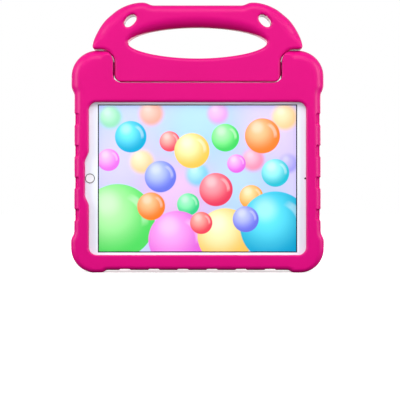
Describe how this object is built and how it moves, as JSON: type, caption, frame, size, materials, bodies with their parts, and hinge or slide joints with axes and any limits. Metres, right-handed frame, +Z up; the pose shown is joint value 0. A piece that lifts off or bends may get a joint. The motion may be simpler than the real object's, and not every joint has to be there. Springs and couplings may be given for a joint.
{
  "type": "shockproof tablet case",
  "caption": "Moulded foam tablet case with corner bumpers and a carry handle that folds back as a stand, holding a tablet in landscape.",
  "frame": {"origin": "under the middle of the case, on the surface that its two lower bumpers stand on", "axes": "+Z up towards the raised handle, the screen faces -Y, +X to the right as seen from the front"},
  "size_m": [0.273, 0.03, 0.2918],
  "materials": {
    "eva_foam": "satin moulded closed-cell foam, hot pink",
    "pin_plastic": "moulded hard plastic, pink",
    "tray_aluminium": "bead-blasted, silver",
    "cover_glass": "glass printed white behind, polished",
    "display": "lit display",
    "key_face": "polished white",
    "ring_metal": "turned bright ring",
    "lens_glass": "dark polished lens",
    "socket_plastic": "dark moulded socket"
  },
  "bodies": {
    "case": {"case_shell": "eva_foam", "pivot_pin_left": "pin_plastic", "pivot_pin_right": "pin_plastic", "tablet_tray": "tray_aluminium", "tablet_glass": "cover_glass", "display_panel": "display", "front_camera": "lens_glass", "rear_camera_ring": "ring_metal", "rear_camera_lens": "lens_glass", "port_socket": "socket_plastic"},
    "handle": {"handle": "eva_foam"},
    "home_key": {"home_button": "key_face", "home_ring": "ring_metal"}
  },
  "joints": [
    {"name": "handle_fold", "type": "hinge", "parent": "case", "child": "handle", "pos_m": [0, 0, 0.2203], "axis": [-1, 0, 0], "range_deg": [0, 100]},
    {"name": "home_key_press", "type": "slide", "parent": "case", "child": "home_key", "axis": [0, 1, 0], "range_m": [0, 0.0003], "stiffness_N_per_m": 1500}
  ]
}
